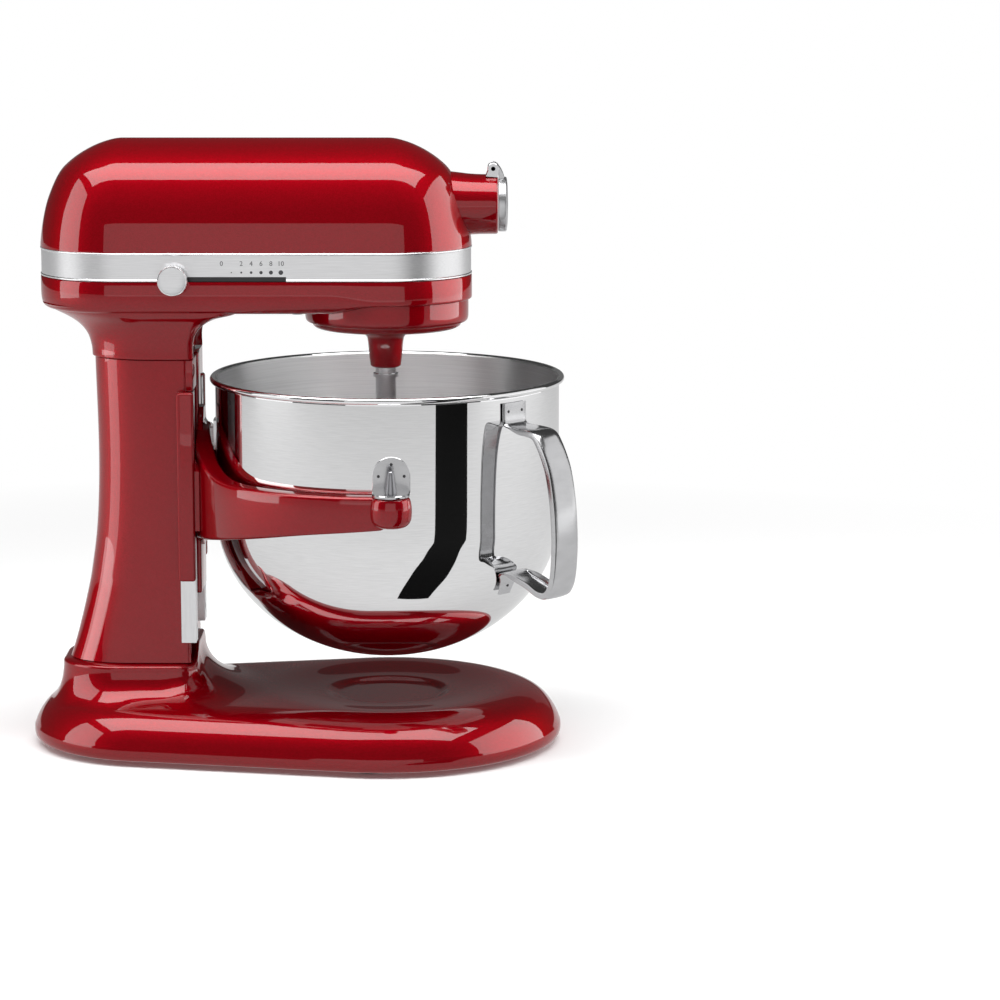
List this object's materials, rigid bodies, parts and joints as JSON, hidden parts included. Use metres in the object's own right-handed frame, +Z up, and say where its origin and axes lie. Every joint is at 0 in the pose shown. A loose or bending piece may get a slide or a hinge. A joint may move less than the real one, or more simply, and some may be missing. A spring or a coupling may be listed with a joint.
{
  "type": "stand mixer",
  "caption": "Bowl-lift stand mixer: cast base, column and fixed head, lifting yoke with a steel bowl, geared planetary drive, hinged front hub cover and sliding speed knob.",
  "frame": {"origin": "on the table under the middle of the whole mixer", "axes": "+X from the column to the front hub, +Y to the side of the lift lever, +Z up"},
  "size_m": [0.3772, 0.287, 0.419],
  "materials": {
    "red_paint": "deep red candy enamel, high gloss",
    "trim_metal": "satin brushed, bright bevelled edges",
    "bowl_steel": "mirror polished outside, brushed inside",
    "bright_steel": "machined and polished",
    "chrome": "chrome plated",
    "zinc": "as cast and machined",
    "gear_steel": "hardened, oiled",
    "bronze": "sintered bronze",
    "winding": "enamelled copper and laminations",
    "magnet": "matt ferrite",
    "black_plastic": "fine moulded grain",
    "board": "solder-resist green",
    "rubber": "matt"
  },
  "bodies": {
    "housing": {"base": "red_paint", "feet": "rubber", "column": "red_paint", "column_screws": "zinc", "head_lower": "red_paint", "head_upper": "red_paint", "trim_band": "trim_metal", "case_screws": "zinc", "ring_gear": "gear_steel", "motor_can": "zinc", "motor_magnets": "magnet", "motor_end_bell": "zinc", "brush_holders": "bronze", "brushes": "magnet", "motor_bearings": "bright_steel", "wheel_bracket": "zinc", "bracket_screws": "zinc", "centre_bearings": "bright_steel", "hub_bush": "bronze", "hub_hinge_pin": "chrome", "control_board": "board", "cord_bush": "black_plastic", "guide_rails": "bright_steel", "rail_screws": "zinc", "lift_bush": "bronze"},
    "lift_yoke": {"yoke": "red_paint", "locating_pins": "bright_steel", "bowl_clip": "bright_steel", "lift_bracket": "zinc"},
    "mixing_bowl": {"bowl": "bowl_steel", "bowl_handle": "bowl_steel", "bowl_ears": "bowl_steel", "bowl_latch_pin": "bright_steel"},
    "lift_lever": {"lever_arm": "bright_steel", "lever_grip": "black_plastic", "lever_shaft": "bright_steel", "lift_crank": "zinc"},
    "planetary_head": {"planetary": "red_paint", "centre_shaft": "bright_steel", "centre_gear": "gear_steel", "crown_gear": "gear_steel"},
    "agitator": {"agitator_shaft": "bright_steel", "planet_pinion": "gear_steel", "cross_pin": "bright_steel", "shaft_washer": "bright_steel"},
    "wheel_spindle": {"worm_wheel": "bronze", "wheel_shaft": "bright_steel", "wheel_pinion": "gear_steel"},
    "motor_rotor": {"motor_shaft": "bright_steel", "armature": "winding", "commutator": "bronze", "fan": "black_plastic"},
    "hub_drive": {"hub_drive_shaft": "bright_steel", "hub_gear": "gear_steel"},
    "speed_control": {"speed_knob": "trim_metal", "speed_slider": "black_plastic"},
    "hub_door": {"hub_cover": "chrome"},
    "hub_thumbscrew": {"hub_knob": "black_plastic"}
  },
  "joints": [
    {"name": "bowl_lift", "type": "slide", "parent": "housing", "child": "lift_yoke", "axis": [0, 0, 1], "range_m": [0, 0.025]},
    {"name": "bowl_lift_off", "type": "slide", "parent": "lift_yoke", "child": "mixing_bowl", "axis": [0, 0, 1], "range_m": [0, 0.012]},
    {"name": "lift_lever_turn", "type": "hinge", "parent": "housing", "child": "lift_lever", "pos_m": [-0.10694, 0, 0.15], "axis": [0, 1, 0], "range_deg": [0, 120]},
    {"name": "planetary_spin", "type": "hinge", "parent": "housing", "child": "planetary_head", "pos_m": [0.05837, 0, 0.3], "axis": [0, 0, 1], "continuous": true},
    {"name": "agitator_spin", "type": "hinge", "parent": "planetary_head", "child": "agitator", "pos_m": [0.05837, -0.03, 0.3], "axis": [0, 0, 1], "continuous": true},
    {"name": "wheel_spin", "type": "hinge", "parent": "housing", "child": "wheel_spindle", "pos_m": [0.01868, 0.027, 0.352], "axis": [0, 0, 1], "continuous": true},
    {"name": "motor_spin", "type": "hinge", "parent": "housing", "child": "motor_rotor", "pos_m": [-0.09163, 0, 0.352], "axis": [1, 0, 0], "continuous": true},
    {"name": "hub_spin", "type": "hinge", "parent": "housing", "child": "hub_drive", "pos_m": [0.08836, 0, 0.3737], "axis": [1, 0, 0], "continuous": true},
    {"name": "speed_slide", "type": "slide", "parent": "housing", "child": "speed_control", "axis": [1, 0, 0], "range_m": [0, 0.066]},
    {"name": "hub_cover_hinge", "type": "hinge", "parent": "housing", "child": "hub_door", "pos_m": [0.13137, 0, 0.3984], "axis": [0, -1, 0], "range_deg": [0, 110]},
    {"name": "hub_knob_turn", "type": "hinge", "parent": "housing", "child": "hub_thumbscrew", "pos_m": [0.12256, 0.025, 0.3737], "axis": [0, 1, 0], "continuous": true}
  ],
  "couplings": [
    {"joint": "lift_lever_turn", "follows": "bowl_lift", "rad_per_m": 83.734},
    {"joint": "agitator_spin", "follows": "planetary_spin", "ratio": -3.2222},
    {"joint": "wheel_spin", "follows": "planetary_spin", "ratio": -3},
    {"joint": "motor_spin", "follows": "planetary_spin", "ratio": 24},
    {"joint": "hub_spin", "follows": "planetary_spin", "ratio": 1}
  ]
}
